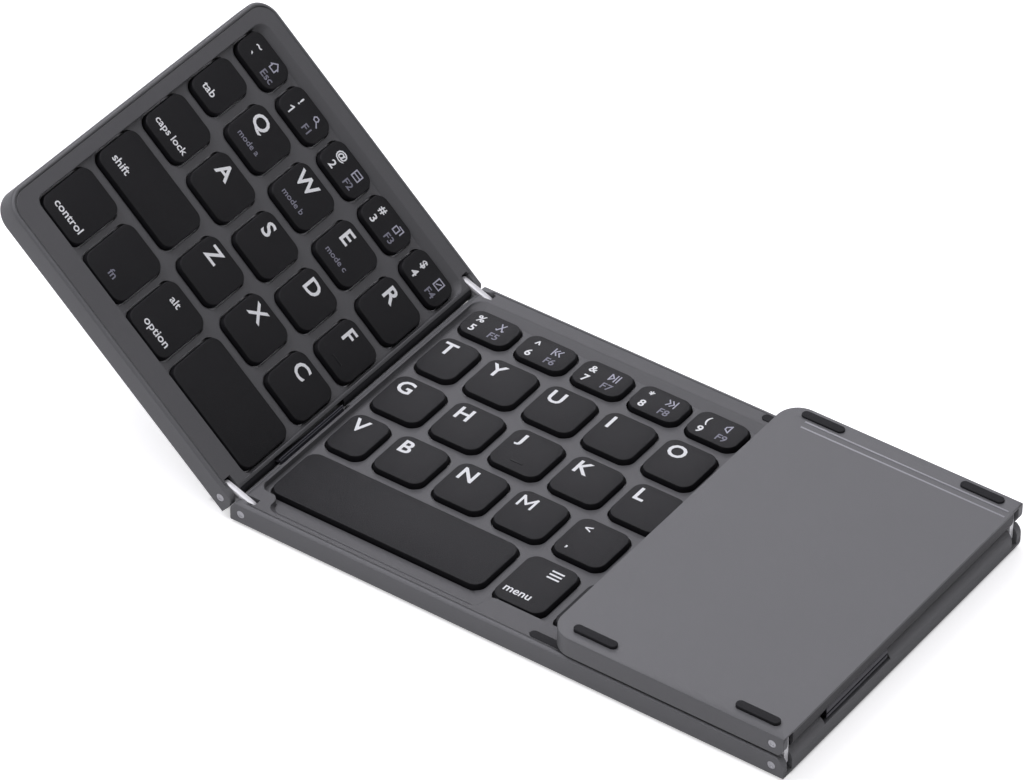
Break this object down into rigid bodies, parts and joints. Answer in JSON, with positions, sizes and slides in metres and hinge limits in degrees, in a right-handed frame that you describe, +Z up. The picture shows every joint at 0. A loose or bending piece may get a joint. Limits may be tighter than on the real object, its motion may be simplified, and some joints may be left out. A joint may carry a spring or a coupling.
{
  "type": "folding keyboard",
  "caption": "Thin wireless keyboard whose side panels fold over the middle one on double-pivot hinges; the left panel stands half open, the right one lies folded over, face down.",
  "frame": {"origin": "centre of the bounding box's footprint, on the plane that the middle panel's feet stand on, with the left panel half open and the right panel folded over", "axes": "+X to the typist's right, along the row of panels; +Y away from the typist; +Z up"},
  "size_m": [0.2168, 0.098, 0.0641],
  "materials": {
    "casing": "fine matte anodised gunmetal grey",
    "frame": "satin gunmetal grey",
    "end_cap": "satin black",
    "key": "matte black",
    "rubber": "matte black",
    "lift": "plain white",
    "link": "bright polished",
    "pin": "bright turned",
    "plate": "plain rolled",
    "magnet": "nickel plated",
    "battery": "foil pouch",
    "board": "green lacquer",
    "port": "plain",
    "light": "clear",
    "ribbon": "satin black film",
    "pad": "smooth satin black"
  },
  "bodies": {
    "middle_panel": {"battery": "battery", "charging_port": "port", "circuit_board": "board", "indicator_lights": "light", "left_ribbon_cable": "ribbon", "middle_bottom_case": "casing", "middle_bumpers": "rubber", "middle_feet": "rubber", "middle_hinge_pins": "pin", "middle_key_lifts": "lift", "middle_magnets": "magnet", "middle_switch_plate": "plate", "middle_top_frame": "frame", "right_ribbon_cable": "ribbon"},
    "left_panel": {"left_bottom_case": "casing", "left_end_cap": "end_cap", "left_feet": "rubber", "left_hinge_pins": "pin", "left_key_lifts": "lift", "left_magnet": "magnet", "left_switch_plate": "plate", "left_top_frame": "frame"},
    "right_panel": {"right_bottom_case": "casing", "right_end_cap": "end_cap", "right_feet": "rubber", "right_hinge_pins": "pin", "right_magnet": "magnet", "right_top_frame": "frame", "touchpad": "pad", "touchpad_board": "board"},
    "left_link": {"left_hinge_links": "link"},
    "right_link": {"right_hinge_links": "link"},
    "arrow_down_key": {"arrow_down_key": "key"},
    "arrow_left_key": {"arrow_left_key": "key"},
    "arrow_right_key": {"arrow_right_key": "key"},
    "arrow_up_key": {"arrow_up_key": "key"},
    "backspace_key": {"backspace_key": "key"},
    "caps_key": {"caps_key": "key"},
    "enter_key": {"enter_key": "key"},
    "esc_key": {"esc_key": "key"},
    "fn_key": {"fn_key": "key"},
    "left_alt_key": {"left_alt_key": "key"},
    "left_control_key": {"left_control_key": "key"},
    "left_letter_keys_home": {"left_letter_keys_home": "key"},
    "left_letter_keys_lower": {"left_letter_keys_lower": "key"},
    "left_letter_keys_upper": {"left_letter_keys_upper": "key"},
    "left_number_keys": {"left_number_keys": "key"},
    "left_shift_key": {"left_shift_key": "key"},
    "left_space_key": {"left_space_key": "key"},
    "letter_keys_home": {"letter_keys_home": "key"},
    "letter_keys_lower": {"letter_keys_lower": "key"},
    "letter_keys_upper": {"letter_keys_upper": "key"},
    "menu_key": {"menu_key": "key"},
    "number_keys": {"number_keys": "key"},
    "right_alt_key": {"right_alt_key": "key"},
    "right_shift_key": {"right_shift_key": "key"},
    "space_key": {"space_key": "key"},
    "tab_key": {"tab_key": "key"}
  },
  "joints": [
    {"name": "left_link_fold", "type": "hinge", "parent": "middle_panel", "child": "left_link", "pos_m": [-0.03896, 0, 0.00345], "axis": [0, 1, 0], "range_deg": [-21.2, 68.8]},
    {"name": "left_panel_fold", "type": "hinge", "parent": "left_link", "child": "left_panel", "pos_m": [-0.04474, 0, 0.00569], "axis": [0, 1, 0], "range_deg": [-21.2, 68.8]},
    {"name": "right_link_fold", "type": "hinge", "parent": "middle_panel", "child": "right_link", "pos_m": [0.10544, 0, 0.00345], "axis": [0, 1, 0], "range_deg": [0, 90]},
    {"name": "right_panel_fold", "type": "hinge", "parent": "right_link", "child": "right_panel", "pos_m": [0.10544, 0, 0.00965], "axis": [0, 1, 0], "range_deg": [0, 90]},
    {"name": "arrow_down_key_press", "type": "slide", "parent": "middle_panel", "child": "arrow_down_key", "axis": [0, 0, -1], "range_m": [0, 0.0012], "stiffness_N_per_m": 300, "springref_m": -0.0005},
    {"name": "arrow_left_key_press", "type": "slide", "parent": "middle_panel", "child": "arrow_left_key", "axis": [0, 0, -1], "range_m": [0, 0.0012], "stiffness_N_per_m": 300, "springref_m": -0.0005},
    {"name": "arrow_right_key_press", "type": "slide", "parent": "middle_panel", "child": "arrow_right_key", "axis": [0, 0, -1], "range_m": [0, 0.0012], "stiffness_N_per_m": 300, "springref_m": -0.0005},
    {"name": "arrow_up_key_press", "type": "slide", "parent": "middle_panel", "child": "arrow_up_key", "axis": [0, 0, -1], "range_m": [0, 0.0012], "stiffness_N_per_m": 300, "springref_m": -0.0005},
    {"name": "backspace_key_press", "type": "slide", "parent": "middle_panel", "child": "backspace_key", "axis": [0, 0, -1], "range_m": [0, 0.0012], "stiffness_N_per_m": 300, "springref_m": -0.0005},
    {"name": "caps_key_press", "type": "slide", "parent": "left_panel", "child": "caps_key", "axis": [-0.6743, 0, -0.7385], "range_m": [0, 0.0012], "stiffness_N_per_m": 300, "springref_m": -0.0005},
    {"name": "enter_key_press", "type": "slide", "parent": "middle_panel", "child": "enter_key", "axis": [0, 0, -1], "range_m": [0, 0.0012], "stiffness_N_per_m": 300, "springref_m": -0.0005},
    {"name": "esc_key_press", "type": "slide", "parent": "left_panel", "child": "esc_key", "axis": [-0.6743, 0, -0.7385], "range_m": [0, 0.0012], "stiffness_N_per_m": 300, "springref_m": -0.0005},
    {"name": "fn_key_press", "type": "slide", "parent": "left_panel", "child": "fn_key", "axis": [-0.6743, 0, -0.7385], "range_m": [0, 0.0012], "stiffness_N_per_m": 300, "springref_m": -0.0005},
    {"name": "left_alt_key_press", "type": "slide", "parent": "left_panel", "child": "left_alt_key", "axis": [-0.6743, 0, -0.7385], "range_m": [0, 0.0012], "stiffness_N_per_m": 300, "springref_m": -0.0005},
    {"name": "left_control_key_press", "type": "slide", "parent": "left_panel", "child": "left_control_key", "axis": [-0.6743, 0, -0.7385], "range_m": [0, 0.0012], "stiffness_N_per_m": 300, "springref_m": -0.0005},
    {"name": "left_letter_keys_home_press", "type": "slide", "parent": "left_panel", "child": "left_letter_keys_home", "axis": [-0.6743, 0, -0.7385], "range_m": [0, 0.0012], "stiffness_N_per_m": 300, "springref_m": -0.0005},
    {"name": "left_letter_keys_lower_press", "type": "slide", "parent": "left_panel", "child": "left_letter_keys_lower", "axis": [-0.6743, 0, -0.7385], "range_m": [0, 0.0012], "stiffness_N_per_m": 300, "springref_m": -0.0005},
    {"name": "left_letter_keys_upper_press", "type": "slide", "parent": "left_panel", "child": "left_letter_keys_upper", "axis": [-0.6743, 0, -0.7385], "range_m": [0, 0.0012], "stiffness_N_per_m": 300, "springref_m": -0.0005},
    {"name": "left_number_keys_press", "type": "slide", "parent": "left_panel", "child": "left_number_keys", "axis": [-0.6743, 0, -0.7385], "range_m": [0, 0.0012], "stiffness_N_per_m": 300, "springref_m": -0.0005},
    {"name": "left_shift_key_press", "type": "slide", "parent": "left_panel", "child": "left_shift_key", "axis": [-0.6743, 0, -0.7385], "range_m": [0, 0.0012], "stiffness_N_per_m": 300, "springref_m": -0.0005},
    {"name": "left_space_key_press", "type": "slide", "parent": "left_panel", "child": "left_space_key", "axis": [-0.6743, 0, -0.7385], "range_m": [0, 0.0012], "stiffness_N_per_m": 300, "springref_m": -0.0005},
    {"name": "letter_keys_home_press", "type": "slide", "parent": "middle_panel", "child": "letter_keys_home", "axis": [0, 0, -1], "range_m": [0, 0.0012], "stiffness_N_per_m": 300, "springref_m": -0.0005},
    {"name": "letter_keys_lower_press", "type": "slide", "parent": "middle_panel", "child": "letter_keys_lower", "axis": [0, 0, -1], "range_m": [0, 0.0012], "stiffness_N_per_m": 300, "springref_m": -0.0005},
    {"name": "letter_keys_upper_press", "type": "slide", "parent": "middle_panel", "child": "letter_keys_upper", "axis": [0, 0, -1], "range_m": [0, 0.0012], "stiffness_N_per_m": 300, "springref_m": -0.0005},
    {"name": "menu_key_press", "type": "slide", "parent": "middle_panel", "child": "menu_key", "axis": [0, 0, -1], "range_m": [0, 0.0012], "stiffness_N_per_m": 300, "springref_m": -0.0005},
    {"name": "number_keys_press", "type": "slide", "parent": "middle_panel", "child": "number_keys", "axis": [0, 0, -1], "range_m": [0, 0.0012], "stiffness_N_per_m": 300, "springref_m": -0.0005},
    {"name": "right_alt_key_press", "type": "slide", "parent": "middle_panel", "child": "right_alt_key", "axis": [0, 0, -1], "range_m": [0, 0.0012], "stiffness_N_per_m": 300, "springref_m": -0.0005},
    {"name": "right_shift_key_press", "type": "slide", "parent": "middle_panel", "child": "right_shift_key", "axis": [0, 0, -1], "range_m": [0, 0.0012], "stiffness_N_per_m": 300, "springref_m": -0.0005},
    {"name": "space_key_press", "type": "slide", "parent": "middle_panel", "child": "space_key", "axis": [0, 0, -1], "range_m": [0, 0.0012], "stiffness_N_per_m": 300, "springref_m": -0.0005},
    {"name": "tab_key_press", "type": "slide", "parent": "left_panel", "child": "tab_key", "axis": [-0.6743, 0, -0.7385], "range_m": [0, 0.0012], "stiffness_N_per_m": 300, "springref_m": -0.0005}
  ],
  "couplings": [
    {"joint": "left_panel_fold", "follows": "left_link_fold", "ratio": 1},
    {"joint": "right_panel_fold", "follows": "right_link_fold", "ratio": 1}
  ]
}
